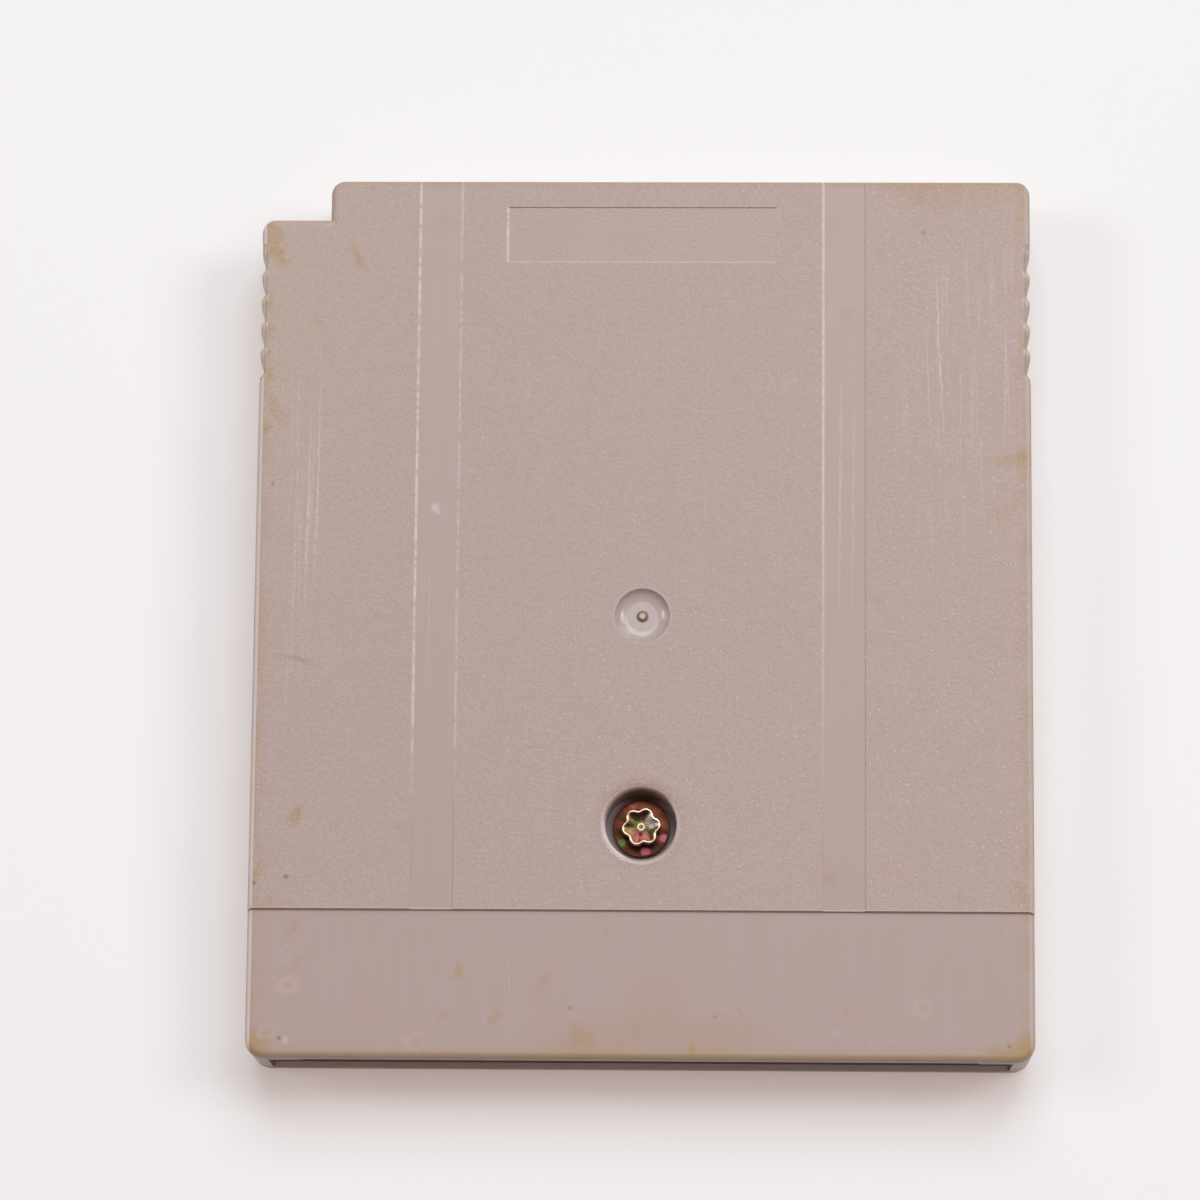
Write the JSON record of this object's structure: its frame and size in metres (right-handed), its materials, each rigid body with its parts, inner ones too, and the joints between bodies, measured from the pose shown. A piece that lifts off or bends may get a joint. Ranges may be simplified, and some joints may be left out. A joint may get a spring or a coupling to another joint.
{
  "type": "game cartridge",
  "caption": "Grey two-shell plastic cartridge for a hand-held game console, with side grips, a keying notch and a connector mouth.",
  "frame": {"origin": "centre of the footprint, on the surface that the front face lies on", "axes": "+X to the right seen from the rear, +Y from the connector mouth to the notched end, +Z out of the rear face"},
  "size_m": [0.057, 0.0654, 0.0078],
  "materials": {
    "shell_plastic": "spark-textured warm grey moulded plastic with smooth bands, yellowed at the edges",
    "plated_screw": "yellow-passivated plated steel",
    "board_laminate": "glass-fibre laminate under green solder mask",
    "gold_plating": "gold plating on copper",
    "chip_epoxy": "moulded black epoxy",
    "tinned_metal": "tin-plated alloy",
    "cell_steel": "nickel-plated steel",
    "seal_ring": "dark moulded sealing ring",
    "capacitor_ceramic": "tan fired ceramic",
    "resistor_coating": "dark glaze on a ceramic chip"
  },
  "bodies": {
    "root": {"rear_shell": "shell_plastic", "front_shell": "shell_plastic", "screw": "plated_screw", "circuit_board": "board_laminate", "edge_contacts": "gold_plating", "program_chip": "chip_epoxy", "program_chip_leads": "tinned_metal", "bank_chip": "chip_epoxy", "bank_chip_leads": "tinned_metal", "save_chip": "chip_epoxy", "save_chip_leads": "tinned_metal", "supervisor_chip": "chip_epoxy", "supervisor_chip_leads": "tinned_metal", "battery_can": "cell_steel", "battery_seal": "seal_ring", "battery_cap": "cell_steel", "battery_tab_plus": "tinned_metal", "battery_tab_minus": "tinned_metal", "capacitor_bodies": "capacitor_ceramic", "capacitor_ends": "tinned_metal", "resistor_bodies": "resistor_coating", "resistor_ends": "tinned_metal", "diode_body": "chip_epoxy", "diode_leads": "tinned_metal"}
  },
  "joints": []
}
